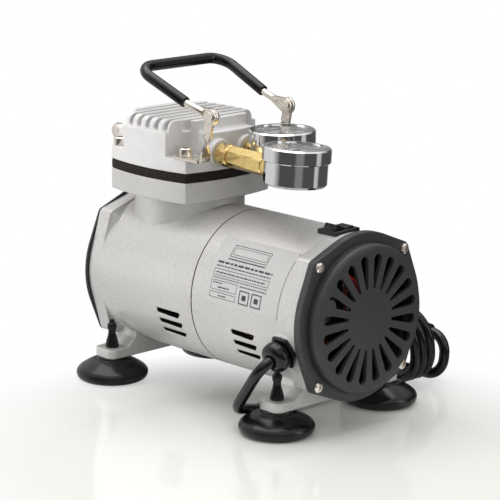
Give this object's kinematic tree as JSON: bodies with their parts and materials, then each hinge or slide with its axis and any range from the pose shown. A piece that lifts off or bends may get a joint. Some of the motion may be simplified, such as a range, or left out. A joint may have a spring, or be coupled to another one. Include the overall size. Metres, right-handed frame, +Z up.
{
  "type": "airbrush compressor",
  "caption": "Small oil-less piston compressor for an airbrush: finned head, two gauges, carrying handle, grille covers and suction feet.",
  "frame": {"origin": "on the ground, at the middle of the whole object's length and width", "axes": "+X along the motor shaft to the switch end, +Y across to the cord hank's side, +Z up"},
  "size_m": [0.2094, 0.1879, 0.2077],
  "materials": {
    "housing_paint": "silver paint with a fine orange-peel texture",
    "head_casting": "blasted casting",
    "cover_plastic": "satin black",
    "black_gloss": "glossy black",
    "foot_rubber": "glossy soft rubber",
    "nickel_plate": "bright nickel",
    "gauge_chrome": "polished",
    "gauge_glass": "clear",
    "dial_white": "white dial",
    "pointer_black": "black",
    "brass": "polished",
    "machined_steel": "ground",
    "iron": "machined",
    "rod_aluminium": "die-cast",
    "dark_gasket": "dark brown-black",
    "winding_enamel": "dark red varnish",
    "lead_red": "red insulation",
    "lead_black": "black insulation",
    "lead_earth": "green insulation with a yellow stripe",
    "plate_silver": "printed silver foil"
  },
  "bodies": {
    "machine": {"front_housing": "housing_paint", "rear_housing": "housing_paint", "cylinder_head": "head_casting", "front_cover": "cover_plastic", "rear_cover": "cover_plastic", "switch_body": "black_gloss", "cable_gland": "black_gloss", "power_cord": "black_gloss", "power_plug": "black_gloss", "cord_tie": "black_gloss", "suction_feet": "foot_rubber", "cover_screws": "nickel_plate", "head_screws": "nickel_plate", "handle_brackets": "nickel_plate", "handle_rivets": "nickel_plate", "hose_nipples": "nickel_plate", "plug_pins": "nickel_plate", "gauge_cases": "gauge_chrome", "gauge_bezels": "gauge_chrome", "gauge_glasses": "gauge_glass", "gauge_dials": "dial_white", "gauge_adapter": "brass", "gauge_stems": "brass", "gauge_bourdon_tubes": "brass", "switch_terminals": "brass", "motor_bearing_outer_rings": "machined_steel", "housing_tie_bolts": "machined_steel", "suction_reed": "machined_steel", "discharge_reed": "machined_steel", "discharge_reed_stop": "machined_steel", "reed_rivets": "machined_steel", "stator_core": "machined_steel", "cylinder_sleeve": "rod_aluminium", "valve_plate": "dark_gasket", "lower_gasket": "dark_gasket", "head_gasket": "dark_gasket", "stator_windings": "winding_enamel", "motor_leads_red": "lead_red", "motor_leads_black": "lead_black", "earth_lead": "lead_earth", "rating_plate": "plate_silver"},
    "rotor": {"motor_shaft": "machined_steel", "rotor_core": "machined_steel", "motor_bearing_inner_rings": "machined_steel", "cooling_fan": "cover_plastic", "crank_eccentric": "iron", "eccentric_set_screw": "machined_steel", "crank_bearing_inner_ring": "machined_steel"},
    "rod": {"connecting_rod": "rod_aluminium", "wrist_pin": "machined_steel", "crank_bearing_outer_ring": "machined_steel"},
    "piston_body": {"piston": "rod_aluminium", "piston_ring": "dark_gasket"},
    "motor_balls": {"motor_bearing_balls": "machined_steel"},
    "crank_balls": {"crank_bearing_balls": "machined_steel"},
    "handle": {"handle_rod": "nickel_plate", "handle_grip": "black_gloss"},
    "rocker": {"switch_rocker": "black_gloss"},
    "vacuum_pointer": {"vacuum_gauge_needle": "pointer_black"},
    "pressure_pointer": {"pressure_gauge_needle": "pointer_black"}
  },
  "joints": [
    {"name": "shaft_spin", "type": "hinge", "parent": "machine", "child": "rotor", "pos_m": [-0.00275, -0.0249, 0.0685], "axis": [1, 0, 0], "continuous": true},
    {"name": "rod_orbit", "type": "hinge", "parent": "rotor", "child": "rod", "pos_m": [-0.0561, -0.0249, 0.074], "axis": [1, 0, 0], "continuous": true},
    {"name": "motor_ball_orbit", "type": "hinge", "parent": "machine", "child": "motor_balls", "pos_m": [0.05825, -0.0249, 0.0685], "axis": [1, 0, 0], "continuous": true},
    {"name": "crank_ball_orbit", "type": "hinge", "parent": "rotor", "child": "crank_balls", "pos_m": [-0.0561, -0.0249, 0.074], "axis": [1, 0, 0], "continuous": true},
    {"name": "piston_stroke", "type": "slide", "parent": "machine", "child": "piston_body", "axis": [0, 0, 1], "range_m": [-0.011, 0]},
    {"name": "handle_swing", "type": "hinge", "parent": "machine", "child": "handle", "pos_m": [-0.00065, -0.0249, 0.1807], "axis": [0, 1, 0], "range_deg": [-20, 150]},
    {"name": "switch_rock", "type": "hinge", "parent": "machine", "child": "rocker", "pos_m": [0.07725, -0.0249, 0.1171], "axis": [1, 0, 0], "range_deg": [0, 20]},
    {"name": "vacuum_needle_turn", "type": "hinge", "parent": "machine", "child": "vacuum_pointer", "pos_m": [0.05725, -0.0421, 0.1528], "axis": [-0.0142, -0.0602, -0.9981], "range_deg": [0, 270]},
    {"name": "pressure_needle_turn", "type": "hinge", "parent": "machine", "child": "pressure_pointer", "pos_m": [0.01395, -0.0109, 0.1537], "axis": [0.0072, 0.0005, -1], "range_deg": [0, 270]}
  ],
  "couplings": [
    {"joint": "rod_orbit", "follows": "shaft_spin", "ratio": -1},
    {"joint": "motor_ball_orbit", "follows": "shaft_spin", "ratio": 0.395},
    {"joint": "crank_ball_orbit", "follows": "shaft_spin", "ratio": -0.592}
  ]
}
